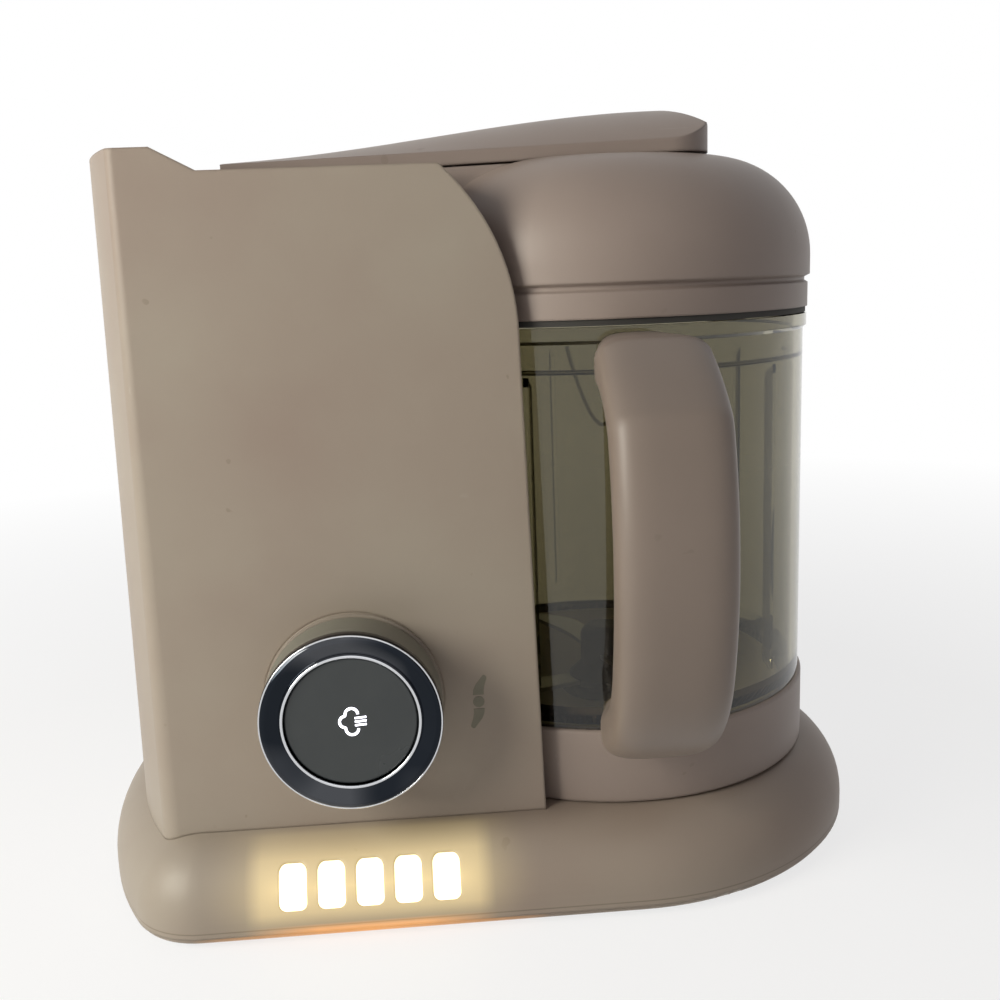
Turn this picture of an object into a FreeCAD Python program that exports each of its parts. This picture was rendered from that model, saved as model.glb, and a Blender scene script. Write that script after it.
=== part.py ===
import FreeCAD, Part
import Sketcher
import math
import os
import re

# Baby food maker: a steam boiler tower and a blender bowl side by side on one base.
# Lengths are in millimetres. Front is -Y, up is +Z, and the bowl stands on the right (+X).
# The pieces are drawn about the bowl's axis plane, then stand_side and stand_shift move them
# so that the origin lies under the middle of the whole object, handle included.

sizes = {
    # footprint of the base
    "bowl_x": 50.0, "right_x": 47.0, "end_x": 23.0, "half_depth": 80.0, "end_radius": 135.0,
    "corner": 22.0, "shoulder": 19.0, "base_top": 27.0, "plate_top": 4.0, "plate_under": 2.0,
    "wall": 2.8, "roof": 2.8, "handle_reach": 115.0, "boss_radius": 4.5, "boss_tall": 14.0,
    "foot_radius": 9.0, "screw_radius": 1.5, "head_radius": 3.0, "gland_z": 10.5,
    # lit windows
    "lamp_pitch": 10.4, "lamp_wide": 7.4, "lamp_low": 10.5, "lamp_high": 21.5, "lamp_bend": 2.0,
    "lamp_x": -28.0,
    # tower housing
    "draft": 1.0, "tower_inset": 16.0, "tower_end": 125.0, "tower_right": 22.0, "bend_x": 19.2,
    "bend_z": 161.0, "tower_arc": 60.0, "tower_top": 205.0, "notch_right": -61.0,
    "notch_left": -72.0, "tower_peak": 211.0, "tower_foot": 21.0, "bowl_clear": 67.2, "channel_half": 39.5,
    "channel_left": -67.0, "channel_lean": 6.0, "deck_under": 159.0, "deck_top": 162.0,
    # boiler, heater and inner frame
    "frame_x": -58.0, "frame_radius": 36.0, "frame_wall": 2.5, "frame_top": 92.0,
    "heater_top": 100.0, "tank_top": 150.0, "tank_wall": 2.0, "mouth_x": -34.0,
    "mouth_radius": 11.0,
    # motor and belt drive
    "bracket_under": 27.0, "bracket_top": 30.0, "motor_radius": 24.0, "motor_top": 80.0,
    "shaft_radius": 3.0, "running": 0.06, "pulley_under": 10.0, "pulley_top": 20.0,
    "flange": 1.5, "motor_seat": 8.5, "driven_seat": 24.0, "flange_rise": 2.5,
    "belt_gap": 0.3, "belt_thick": 1.6, "spindle_radius": 4.0, "spindle_under": 6.2,
    "dog_under": 28.0, "dog_tall": 5.0, "dog_radius": 11.0, "dog_grip": 3.0,
    "hub_radius": 8.0, "hub_foot": 12.0, "hub_tall": 23.0, "blade_thick": 1.4,
    # control knob
    "knob_x": -30.0, "knob_z": 63.5, "knob_radius": 24.2, "knob_front": 81.5,
    "knob_back": 64.9, "seat_radius": 24.6, "seat_front": 64.4, "seat_back": 57.0,
    "button_radius": 17.9, "button_gap": 0.35, "stem_radius": 3.0, "board_y": 44.0,
    # bowl
    "glass_radius": 63.2, "glass_wall": 2.6, "glass_under": 35.0, "glass_floor": 37.5,
    "glass_top": 162.0, "rim_radius": 64.2, "rim_under": 157.5, "collar_radius": 64.2,
    "collar_inside": 59.8, "collar_under": 27.4, "collar_top": 49.0, "foot_bend": 6.0,
    "rib_thick": 1.6, "rib_deep": 2.2,
    # bowl handle
    "handle_half": 14.5, "grip_thick": 15.0, "grip_round": 6.5, "grip_top": 160.5,
    "grip_root": -50.0, "grip_turn": 30.0, "grip_bow": 110.0, "grip_foot": 40.0,
    "grip_lean": 16.4, "grip_slope": 15.0,
    # lid and lever
    "lid_radius": 65.0, "skirt_radius": 64.4, "skirt_under": 164.0, "skirt_top": 171.0,
    "dome_bend": 179.0, "dome_arc": 29.5, "lid_wall": 3.0, "neck_half": 35.2,
    "neck_left": -44.0, "neck_under": 166.0, "recess_z": 204.6, "hinge_x": -52.0,
    "hinge_z": 200.0, "pin_radius": 2.5, "knuckle": 5.0, "knuckle_half": 20.0,
    "lever_under": 205.2, "lever_edge": 208.9, "lever_rise": 3.8, "lever_half": 34.4,
    "lever_left": -59.0, "lever_right": 80.6, "lever_bend": 13.0, "lever_end": 240.0,
    "lever_crown": 11.5,
}

doc = FreeCAD.newDocument("baby_food_maker")
sheet = doc.addObject("Spreadsheet::Sheet", "dims")
pieces = []
stand_shift = "(handle_reach - half_depth) / 2"
stand_side = "-(right_x + half_depth + end_x - end_radius) / 2"


def fill_sheet():
    for row, (name, size) in enumerate(sizes.items(), start=1):
        sheet.set("A%d" % row, name)
        sheet.set("B%d" % row, str(size))
        sheet.setAlias("B%d" % row, name)
    doc.recompute()


def bound(text):
    # Write each size's name as a reference to its cell.
    def cell(word):
        return "dims." + word.group() if word.group() in sizes else word.group()
    return re.sub(r"[a-z][a-z_]*[a-z]", cell, str(text))


def number(text):
    return float(sheet.evalExpression(bound(text)))


def place(thing, x="0", y="0", z="0"):
    for axis, text in (("x", x), ("y", y), ("z", z)):
        thing.setExpression("Placement.Base." + axis, bound(text))
    return thing


def keep(thing, label, x="0", y="0", z="0"):
    # Name a finished sub-part and stand it in the object's own frame.
    thing.Label = label
    place(thing, "%s + %s" % (x, stand_side), "%s + %s" % (y, stand_shift), z)
    pieces.append(thing)
    return thing


def arc_between(start, end, radius):
    # Minor arc; a positive radius turns left on the way from start to end.
    half = (end - start) * 0.5
    lift = math.sqrt(max(radius ** 2 - half.Length ** 2, 0.0))
    side = FreeCAD.Vector(-half.y, half.x, 0).normalize()
    centre = start + half + side * math.copysign(lift, radius)
    first, last = (start, end) if radius > 0 else (end, start)
    circle = Part.Circle(centre, FreeCAD.Vector(0, 0, 1), abs(radius))
    angles = [math.atan2(p.y - centre.y, p.x - centre.x) for p in (first, last)]
    if angles[1] < angles[0]:
        angles[1] += 2 * math.pi
    return Part.ArcOfCircle(circle, angles[0], angles[1])


def draw(sketch, points):
    # A closed outline: each point is (x, y) or (x, y, radius of the arc that leaves it).
    spots = [FreeCAD.Vector(number(p[0]), number(p[1]), 0) for p in points]
    heads = []
    for index, point in enumerate(points):
        start = spots[index]
        end = spots[(index + 1) % len(points)]
        if len(point) == 3:
            radius = number(point[2])
            sketch.addGeometry(arc_between(start, end, radius))
            heads.append(1 if radius > 0 else 2)
        else:
            sketch.addGeometry(Part.LineSegment(start, end))
            heads.append(1)
    for index, point in enumerate(points):
        after = (index + 1) % len(points)
        tail = 3 - heads[index]
        sketch.addConstraint(Sketcher.Constraint("Coincident", index, tail, after, heads[after]))
    for index, point in enumerate(points):
        head = heads[index]
        for kind, text, size in (("DistanceX", point[0], spots[index].x),
                                 ("DistanceY", point[1], spots[index].y)):
            made = sketch.addConstraint(Sketcher.Constraint(kind, -1, 1, index, head, size))
            sketch.setExpression("Constraints[%d]" % made, bound(text))
        if len(point) == 3:
            radius = number(point[2])
            made = sketch.addConstraint(Sketcher.Constraint("Radius", index, abs(radius)))
            sketch.setExpression("Constraints[%d]" % made, bound("abs(%s)" % point[2]))


def sketch_in(body, points, role, offset="0"):
    sketch = body.newObject("Sketcher::SketchObject", body.Name + "_outline")
    plane = [f for f in body.Origin.OriginFeatures if f.Role == role][0]
    sketch.AttachmentSupport = [(plane, "")]
    sketch.MapMode = "FlatFace"
    sketch.setExpression("AttachmentOffset.Base.z", bound(offset))
    draw(sketch, points)
    return sketch


def pad(name, points, length, role="XY_Plane", offset="0", middle=False, taper=None):
    body = doc.addObject("PartDesign::Body", name)
    sketch = sketch_in(body, points, role, offset)
    feature = body.newObject("PartDesign::Pad", name + "_pad")
    feature.Profile = sketch
    feature.setExpression("Length", bound(length))
    if middle:
        feature.SideType = "Symmetric"
    if taper:
        feature.setExpression("TaperAngle", bound(taper))
    sketch.Visibility = False
    return body


def turn(name, points):
    # A solid of revolution about its own upright axis.
    body = doc.addObject("PartDesign::Body", name)
    sketch = sketch_in(body, points, "XZ_Plane")
    feature = body.newObject("PartDesign::Revolution", name + "_turn")
    feature.Profile = sketch
    feature.ReferenceAxis = (sketch, ["V_Axis"])
    feature.Angle = 360.0
    return body


def soften(body, radius, wanted):
    # Round the edges of the last feature that the test picks.
    doc.recompute()
    base = body.Tip
    names = ["Edge%d" % (i + 1) for i, edge in enumerate(base.Shape.Edges) if wanted(edge)]
    feature = body.newObject("PartDesign::Fillet", body.Name + "_round")
    feature.Base = (base, names)
    feature.setExpression("Radius", bound(radius))
    return body


def at_height(height):
    # Picks the edges that lie flat at one height.
    level = number(height)
    return lambda edge: edge.BoundBox.ZLength < 0.01 and abs(edge.BoundBox.ZMin - level) < 0.01


def rod(name, radius, length, x="0", y="0", z="0", along="z"):
    # A plain cylinder: pins, shafts, holes. Along "y" it runs from y towards the back.
    thing = doc.addObject("Part::Cylinder", name)
    thing.setExpression("Radius", bound(radius))
    thing.setExpression("Height", bound(length))
    if along == "y":
        thing.Placement.Rotation = FreeCAD.Rotation(FreeCAD.Vector(1, 0, 0), -90)
    return place(thing, x, y, z)


def block(name, low, high):
    # A box between two corners, each three expressions.
    thing = doc.addObject("Part::Box", name)
    for side, first, last in zip(("Length", "Width", "Height"), low, high):
        thing.setExpression(side, bound("(%s) - (%s)" % (last, first)))
    return place(thing, *low)


def join(name, things):
    thing = doc.addObject("Part::MultiFuse", name)
    thing.Shapes = things
    return thing


def cut(name, base, tools):
    thing = doc.addObject("Part::Cut", name)
    thing.Base = base
    thing.Tool = tools[0] if len(tools) == 1 else join(name + "_tools", tools)
    return thing


def common(name, first, second):
    thing = doc.addObject("Part::MultiCommon", name)
    thing.Shapes = [first, second]
    return thing


def group(name, things):
    thing = doc.addObject("Part::Compound", name)
    thing.Links = things
    return thing


def footprint(inset, radius="end_radius"):
    # Plan of the base and, further in, of the tower: straight front and back, a round
    # right end and a flatter left end of its own radius, with round corners between.
    depth = "(half_depth - (%s))" % inset
    end = "(%s - (%s))" % (radius, inset)
    bend = "(corner - (%s))" % inset
    reach = "sqrt((%s - corner)^2 - (half_depth - corner)^2)" % radius
    ratio = "(%s / (%s - corner))" % (end, radius)
    side_x = "end_x - %s * %s" % (reach, ratio)
    side_y = "(half_depth - corner) * %s" % ratio
    line_x = "end_x - %s" % reach
    return [
        (line_x, "-" + depth),
        ("right_x", "-" + depth, depth),
        ("right_x + " + depth, "0", depth),
        ("right_x", depth),
        (line_x, depth, bend),
        (side_x, side_y, end),
        ("end_x - " + end, "0", end),
        (side_x, "-" + side_y, bend),
    ]


def tower_line(inset):
    return footprint("tower_inset + " + inset, "(tower_end + tower_inset)")


def base_block(name):
    # The outside of the base as one solid, with its round shoulder.
    outer = pad(name, footprint("0"), "base_top - plate_top", offset="plate_top")
    return soften(outer, "shoulder", at_height("base_top"))


def base_pieces():
    outer = base_block("base_outer")
    inner = pad("base_inner", footprint("wall"), "base_top - plate_top - roof", offset="plate_top")
    soften(inner, "shoulder - wall", at_height("base_top - roof"))
    wall = cut("base_wall", outer, [inner])
    bosses = [rod("boss", "boss_radius", "boss_tall", x, y, "plate_top") for x, y in screw_places()]
    holes = [rod("boss_hole", "screw_radius", "boss_tall - 2", x, y, "plate_top") for x, y in screw_places()]
    bored = cut("base_bored", join("base_bossed", [wall] + bosses), holes)

    opening = pad("tower_opening", tower_line("wall + 1"), "12", offset="base_top - 8")
    bowl_side = rod("opening_side", "bowl_clear + wall", "14", "bowl_x", "0", "base_top - 9")
    bearing_hole = rod("bearing_hole", "9", "14", "bowl_x", "0", "base_top - 9")
    gland_hole = rod("gland_hole", "5", "10", "frame_x", "half_depth - 6", "gland_z", along="y")
    lamp_holes = [lamp_box("lamp_hole", index) for index in range(5)]
    opened = cut("opening_cut", opening, [bowl_side])
    shell = cut("base_shell", bored, [opened, bearing_hole, gland_hole] + lamp_holes)
    keep(shell, "base_shell")

    # Five clear windows in a row shine through the front of the base.
    lit_wall = cut("lit_wall", twin(outer, "lit_outer"), [twin(inner, "lit_inner")])
    lamps = join("lamp_boxes", [lamp_box("lamp", index) for index in range(5)])
    keep(common("light_windows", lit_wall, lamps), "light_windows")
    keep(block("light_board", ("lamp_x - 34", "-71.5", "plate_top"), ("lamp_x + 34", "-70", "18")),
         "light_board", "lamp_x - 34", "-71.5", "plate_top")

    plate = pad("plate_outer", footprint("0.8"), "plate_top - plate_under", offset="plate_under")
    soften(plate, "1.4", at_height("plate_under"))
    heads = [rod("head_hole", "head_radius", "plate_top - plate_under", x, y, "plate_under")
             for x, y in screw_places()]
    vents = [block("vent", ("%d" % (-20 + 9 * i), "-24", "0"), ("%d" % (-16 + 9 * i), "24", "8"))
             for i in range(5)]
    keep(cut("bottom_plate", plate, heads + vents), "bottom_plate")

    feet = [rod("foot", "foot_radius", "plate_under", x, y, "0") for x, y in foot_places()]
    keep(group("rubber_feet", feet), "rubber_feet")
    screws = []
    for x, y in screw_places():
        head = rod("screw_head", "head_radius", "plate_top - plate_under", x, y, "plate_under")
        shank = rod("screw_shank", "screw_radius", "boss_tall - 4", x, y, "plate_top")
        screws.append(join("screw", [head, shank]))
    keep(group("bottom_screws", screws), "bottom_screws")

    gland_tube = rod("gland_tube", "5", "6", "frame_x", "half_depth - 6.4", "gland_z", along="y")
    flange = rod("gland_flange", "5.8", "3", "frame_x", "half_depth - wall - 5.8", "gland_z", along="y")
    bore = rod("gland_bore", "3.2", "14", "frame_x", "half_depth - 10", "gland_z", along="y")
    keep(cut("cord_gland", join("gland_solid", [gland_tube, flange]), [bore]), "cord_gland")


def lamp_box(name, index):
    # One upright window with round corners, cut straight through the front wall.
    left = "lamp_x - lamp_wide / 2 + lamp_pitch * %d" % (index - 2)
    right = left + " + lamp_wide"
    low, high = "lamp_low", "lamp_high"
    return pad(name, [
        (left + " + lamp_bend", low), (right + " - lamp_bend", low, "lamp_bend"),
        (right, low + " + lamp_bend"), (right, high + " - lamp_bend", "lamp_bend"),
        (right + " - lamp_bend", high), (left + " + lamp_bend", high, "lamp_bend"),
        (left, high + " - lamp_bend"), (left, low + " + lamp_bend", "lamp_bend")],
        "16", role="XZ_Plane", offset="half_depth - 14")


def twin(thing, name):
    # The same body used again in another cut.
    copy = doc.addObject("Part::Compound", name)
    copy.Links = [thing]
    return copy


def foot_places():
    return [("-90", "-44"), ("-90", "44"), ("82", "-42"), ("82", "42")]


def screw_places():
    return [("-100", "-30"), ("-100", "30"), ("89", "-57"), ("89", "57")]


def tower_pieces():
    # The foot runs down onto the base's shoulder and is trimmed to it.
    outer = pad("tower_plan", tower_line("0"), "tower_peak - tower_foot + 4", offset="tower_foot",
                taper="-draft")
    side = pad("tower_side", [
        ("-140", "tower_foot"),
        ("tower_right", "tower_foot"),
        ("tower_right", "base_top"),
        ("bend_x", "bend_z", "tower_arc"),
        ("bend_x - tower_arc + sqrt(tower_arc^2 - (tower_top - bend_z)^2)", "tower_top"),
        ("notch_right", "tower_top"),
        ("notch_left", "tower_peak"),
        ("-140", "tower_peak"),
    ], "200", role="XZ_Plane", middle=True)
    solid = cut("tower_solid", common("tower_block", outer, side), [base_block("tower_floor")])
    inside = pad("tower_inside", tower_line("wall"), "deck_under - tower_foot",
                 offset="tower_foot", taper="-draft")
    inside_side = block("inside_side", ("-140", "-100", "0"), ("bend_x - 6", "100", "230"))
    hollow = common("tower_hollow", inside, inside_side)
    bowl_wall = rod("bowl_wall", "bowl_clear + wall", "240", "bowl_x")
    cavity = cut("tower_cavity", hollow, [bowl_wall])
    channel = block("neck_channel", ("channel_left", "-channel_half", "deck_under"),
                    ("100", "channel_half", "230"))
    # The channel's rear wall leans back, so that the lever clears it with the lid wide open.
    lean = pad("channel_lip", [
        ("channel_left + 1", "hinge_z"), ("channel_left + 1", "hinge_z + 20"),
        ("channel_left - channel_lean", "hinge_z + 20"), ("channel_left", "hinge_z")],
        "2 * channel_half", role="XZ_Plane", middle=True)
    bowl_space = rod("bowl_space", "bowl_clear", "240", "bowl_x")
    seat_hole = rod("seat_hole", "seat_radius", "20", "knob_x", "-half_depth", "knob_z", along="y")
    pin_hole = rod("hinge_hole", "pin_radius", "2 * channel_half + 12", "hinge_x",
                   "-channel_half - 6", "hinge_z", along="y")
    keep(cut("tower_housing", solid, [cavity, channel, lean, bowl_space, seat_hole, pin_hole]),
         "tower_housing")

    deck = block("deck_plate", ("channel_left", "-channel_half", "deck_under"),
                 ("bowl_x", "channel_half", "deck_top"))
    mouth = rod("deck_mouth", "mouth_radius", "20", "mouth_x", "0", "deck_under - 5")
    deck_side = rod("deck_side", "bowl_clear", "240", "bowl_x")
    keep(cut("tank_deck", deck, [mouth, deck_side]), "tank_deck")
    keep(rod("lid_hinge_pin", "pin_radius", "2 * channel_half + 12", "hinge_x",
             "-channel_half - 6", "hinge_z", along="y"), "lid_hinge_pin",
         "hinge_x", "-channel_half - 6", "hinge_z")


def boiler_pieces():
    tube = rod("frame_tube", "frame_radius", "frame_top - plate_top", "frame_x", "0", "plate_top")
    bore = rod("frame_bore", "frame_radius - frame_wall", "100", "frame_x", "0", "0")
    belt_way = block("belt_way", ("frame_x", "-30", "0"), ("0", "30", "pulley_top + 3"))
    keep(cut("inner_frame", tube, [bore, belt_way]), "inner_frame")
    keep(rod("boiler_heater", "frame_radius", "heater_top - frame_top", "frame_x", "0", "frame_top"),
         "boiler_heater", "frame_x", "0", "frame_top")
    keep(rod("thermostat", "8", "6", "frame_x", "0", "frame_top - 6"), "thermostat",
         "frame_x", "0", "frame_top - 6")
    drum = rod("tank_drum", "frame_radius", "tank_top - heater_top", "frame_x", "0", "heater_top")
    neck = rod("tank_neck", "mouth_radius + tank_wall", "deck_under - tank_top + 2", "mouth_x", "0",
               "tank_top - 2")
    room = rod("tank_room", "frame_radius - tank_wall", "tank_top - heater_top - 2 * tank_wall",
               "frame_x", "0", "heater_top + tank_wall")
    throat = rod("tank_throat", "mouth_radius", "30", "mouth_x", "0", "tank_top - 10")
    solid = join("tank_solid", [drum, neck])
    keep(cut("boiler_tank", solid, [room, throat]), "boiler_tank")


def drive_pieces():
    disc = rod("bracket_disc", "frame_radius - frame_wall", "bracket_top - bracket_under", "frame_x",
               "0", "bracket_under")
    hole = rod("bracket_hole", "6", "20", "frame_x", "0", "bracket_under - 5")
    keep(cut("motor_bracket", disc, [hole]), "motor_bracket")
    can = rod("can_solid", "motor_radius", "motor_top - bracket_top", "frame_x", "0", "bracket_top")
    bore = rod("can_bore", "shaft_radius + running", "46", "frame_x", "0", "bracket_top - 1")
    keep(cut("motor_can", can, [bore]), "motor_can")
    keep(rod("motor_shaft", "shaft_radius", "62", "frame_x", "0", "pulley_under"), "motor_shaft",
         "frame_x", "0", "pulley_under")
    keep(turn("motor_pulley", pulley("motor_seat", "shaft_radius")), "motor_pulley", "frame_x")
    keep(turn("driven_pulley", pulley("driven_seat", "spindle_radius")), "driven_pulley", "bowl_x")
    inside = pad("belt_inside", belt_line("belt_gap"), "20", offset="pulley_under")
    belt = pad("belt_outside", belt_line("belt_gap + belt_thick"),
               "pulley_top - pulley_under - 2 * flange - 1", offset="pulley_under + flange + 0.5")
    keep(cut("drive_belt", belt, [inside]), "drive_belt")

    keep(turn("spindle_bearing", [
        ("spindle_radius + running", "base_top - 6"), ("12", "base_top - 6"),
        ("12", "base_top - roof"), ("9", "base_top - roof"), ("9", "base_top"),
        ("spindle_radius + running", "base_top")]), "spindle_bearing", "bowl_x")
    keep(turn("spindle_step", [
        ("0", "plate_top"), ("9", "plate_top"), ("7", "9"), ("spindle_radius + running", "9"),
        ("spindle_radius + running", "6"), ("0", "6")]), "spindle_step", "bowl_x")
    spindle_tall = "dog_under + dog_grip - spindle_under"
    keep(rod("drive_spindle", "spindle_radius", spindle_tall, "bowl_x", "0", "spindle_under"),
         "drive_spindle", "bowl_x", "0", "spindle_under")
    sides = [("dog_radius * cos(%d)" % a, "dog_radius * sin(%d)" % a) for a in range(0, 360, 60)]
    dog = pad("dog_block", sides, "dog_tall", offset="dog_under")
    socket = rod("dog_socket", "spindle_radius", "dog_grip", z="dog_under")
    keep(cut("drive_coupling", dog, [socket]), "drive_coupling", "bowl_x")


def pulley(seat, bore):
    rim = seat + " + flange_rise"
    low = "pulley_under + flange"
    high = "pulley_top - flange"
    return [(bore, "pulley_under"), (rim, "pulley_under"), (rim, low), (seat, low), (seat, high),
            (rim, high), (rim, "pulley_top"), (bore, "pulley_top")]


def belt_line(gap):
    # Open belt round two pulleys: tangent lines and the arcs between them.
    small = "(motor_seat + %s)" % gap
    large = "(driven_seat + %s)" % gap
    lean = "((driven_seat - motor_seat) / (bowl_x - frame_x))"
    rise = "sqrt(1 - %s^2)" % lean
    small_x = "frame_x - %s * %s" % (small, lean)
    large_x = "bowl_x - %s * %s" % (large, lean)
    return [
        (small_x, "-%s * %s" % (small, rise)),
        (large_x, "-%s * %s" % (large, rise), large),
        ("bowl_x + " + large, "0", large),
        (large_x, "%s * %s" % (large, rise)),
        (small_x, "%s * %s" % (small, rise), small),
        ("frame_x - " + small, "0", small),
    ]


def knob_pieces():
    # Each of these is drawn upright about its own axis, then laid with its face to the front.
    face = "knob_front"
    seat = turn("knob_seat", [("6", "seat_back"), ("seat_radius", "seat_back"),
                              ("seat_radius", "seat_front"), ("6", "seat_front")])
    skirt = turn("knob_skirt", [
        ("0", "45"), ("stem_radius", "45"), ("stem_radius", "knob_back"),
        ("knob_radius - 1.2", "knob_back"), ("knob_radius", "knob_back + 1.2"),
        ("knob_radius", face + " - 3.5"), ("knob_radius - 3", face + " - 3.5"),
        ("knob_radius - 3", "knob_back + 2"), ("0", "knob_back + 2")])
    ring = turn("knob_ring", [
        ("knob_radius - 4.5", face + " - 3.5"), ("knob_radius", face + " - 3.5"),
        ("knob_radius", face + " - 2", "2"), ("knob_radius - 2", face),
        ("button_radius + 0.8", face + " - 1.6"), ("button_radius", face + " - 1.6"),
        ("button_radius", face + " - 3.5")])
    cap = "button_radius - button_gap"
    button = turn("knob_button", [
        ("0", face + " - 11.5"), ("5", face + " - 11.5"), ("5", face + " - 5"), (cap, face + " - 5"),
        (cap, face + " - 2.6", "0.8"), (cap + " - 0.8", face + " - 1.8"), ("0", face + " - 1.8")])
    switch = turn("knob_switch", [
        ("stem_radius + running", "board_y"), ("13", "board_y"), ("13", "seat_back - 2"),
        ("8", "seat_back - 2"), ("8", "seat_back"), ("stem_radius + running", "seat_back")])
    for body in (seat, skirt, ring, button, switch):
        body.Placement.Rotation = FreeCAD.Rotation(FreeCAD.Vector(1, 0, 0), 90)
        keep(body, body.Name, "knob_x", "0", "knob_z")
    keep(block("control_board", ("knob_x - 45", "-board_y", "plate_top"),
               ("knob_x + 20", "-board_y + 1.6", "100")), "control_board",
         "knob_x - 45", "-board_y", "plate_top")


def bowl_pieces():
    inside = "glass_radius - glass_wall"
    foot = "collar_inside - glass_wall"
    jar = turn("bowl_jar", [
        ("8", "glass_under"), ("collar_inside - foot_bend", "glass_under", "foot_bend"),
        ("collar_inside", "glass_under + foot_bend"), ("collar_inside", "collar_top"),
        ("glass_radius", "collar_top"), ("glass_radius", "rim_under"),
        ("rim_radius", "rim_under + 1"), ("rim_radius", "glass_top"), (inside, "glass_top"),
        (inside, "collar_top + 6"), (foot, "collar_top"),
        (foot, "glass_floor + foot_bend", "-foot_bend"), (foot + " - foot_bend", "glass_floor"),
        ("14", "glass_floor"), ("12", "glass_floor + 3"), ("8", "glass_floor + 3")])
    ribs = [bowl_rib(heading) for heading in range(26, 386, 72)]
    keep(join("bowl_glass", [jar] + ribs), "bowl_glass", "bowl_x")
    keep(turn("bowl_collar", [
        ("collar_inside", "collar_under"), ("collar_radius", "collar_under"),
        ("collar_radius", "collar_top - 1", "1"), ("collar_radius - 1", "collar_top"),
        ("collar_inside", "collar_top")]), "bowl_collar", "bowl_x")
    keep(turn("bowl_seal", [
        ("spindle_radius + running", "glass_under - 1.6"), ("11", "glass_under - 1.6"),
        ("11", "glass_under"), ("8", "glass_under"), ("8", "glass_floor + 3.6"),
        ("spindle_radius + running", "glass_floor + 3.6")]), "bowl_seal", "bowl_x")

    grip = pad("handle_grip", grip_line(), "2 * handle_half", role="YZ_Plane", middle=True)
    soften(grip, "grip_round", lambda edge: edge.BoundBox.XLength < 0.01
           and edge.BoundBox.YLength > 0.01)
    hollow = rod("handle_hollow", "rim_radius", "240")
    keep(cut("bowl_handle", grip, [hollow]), "bowl_handle", "bowl_x")


def bowl_rib(heading):
    # An upright rib on the inside of the wall, which turns the food back to the blades.
    inside = "(glass_radius - glass_wall)"
    low, high = "collar_top + 7", "glass_top - 12"
    rib = pad("bowl_rib", [
        (inside + " - rib_deep", low + " + 4"), (inside + " + 1", low),
        (inside + " + 1", high), (inside + " - rib_deep", high + " - 4")],
        "rib_thick", role="XZ_Plane", middle=True)
    rib.Placement.Rotation = FreeCAD.Rotation(FreeCAD.Vector(0, 0, 1), heading)
    return rib


def grip_line():
    # Handle: one bowed grip of even thickness from the rim down to the collar, in tangent arcs.
    top_y = "(grip_bow - handle_reach - (grip_bow - grip_turn) * cos(grip_lean))"
    top_z = "(grip_top - grip_turn)"
    bow_y = "(grip_bow - handle_reach)"
    bow_z = "(%s - (grip_bow - grip_turn) * sin(grip_lean))" % top_z
    foot_y = "(%s - (grip_bow - grip_foot) * cos(grip_lean))" % bow_y
    foot_z = "(%s - (grip_bow - grip_foot) * sin(grip_lean))" % bow_z

    def side(inward):
        # The points of one side, from the rim down, and the radii of its three arcs.
        turn_r, bow_r, foot_r = ["(%s - %s)" % (r, inward)
                                 for r in ("grip_turn", "grip_bow", "grip_foot")]
        end_y = "%s - %s * sin(grip_slope)" % (foot_y, foot_r)
        end_z = "%s - %s * cos(grip_slope)" % (foot_z, foot_r)
        spots = [
            ("grip_root", "grip_top - %s" % inward),
            (top_y, "grip_top - %s" % inward),
            ("%s - %s * cos(grip_lean)" % (top_y, turn_r), "%s + %s * sin(grip_lean)" % (top_z, turn_r)),
            ("%s - %s * cos(grip_lean)" % (bow_y, bow_r), "%s - %s * sin(grip_lean)" % (bow_z, bow_r)),
            (end_y, end_z),
            ("grip_root", "%s - (grip_root - (%s)) * tan(grip_slope)" % (end_z, end_y)),
        ]
        return spots, [turn_r, bow_r, foot_r]

    outer, bends = side("0")
    inner, hollows = side("grip_thick")
    line = [outer[0]]
    line += [spot + (bend,) for spot, bend in zip(outer[1:4], bends)]
    line += outer[4:] + [inner[5]]
    line += [spot + ("-" + bend,) for spot, bend in zip(inner[4:1:-1], hollows[::-1])]
    return line + [inner[1], inner[0]]


def blade_pieces():
    shaft_under = "dog_under + dog_tall"
    hub_under = "glass_floor + 4"
    keep(rod("blade_shaft", "spindle_radius", "%s - (%s)" % (hub_under, shaft_under), "bowl_x", "0",
             shaft_under), "blade_shaft", "bowl_x", "0", shaft_under)
    keep(turn("blade_hub", [
        ("0", hub_under), ("hub_foot", hub_under), ("hub_foot", hub_under + " + 2"),
        ("hub_radius", hub_under + " + 6"), ("hub_radius", "glass_floor + hub_tall - 4", "4"),
        ("hub_radius - 4", "glass_floor + hub_tall"), ("0", "glass_floor + hub_tall")]),
        "blade_hub", "bowl_x")
    for label, level, heading, root in (("lower_blades", "glass_floor + 4.4", 20, "hub_foot"),
                                        ("upper_blades", "glass_floor + 13", 110, "hub_radius")):
        arm = [("4", "-5"), ("30", "-6", "26"), ("48", "6"), ("30", "4", "-60"), ("4", "5")]
        first = pad(label + "_one", arm, "blade_thick", offset=level)
        second = pad(label + "_two", arm, "blade_thick", offset=level)
        first.Placement.Rotation = FreeCAD.Rotation(FreeCAD.Vector(0, 0, 1), heading)
        second.Placement.Rotation = FreeCAD.Rotation(FreeCAD.Vector(0, 0, 1), heading + 180)
        hub = rod(label + "_hub", root, "10", z=level + " - 4")
        keep(cut(label, join(label + "_pair", [first, second]), [hub]), label, "bowl_x")


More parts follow.
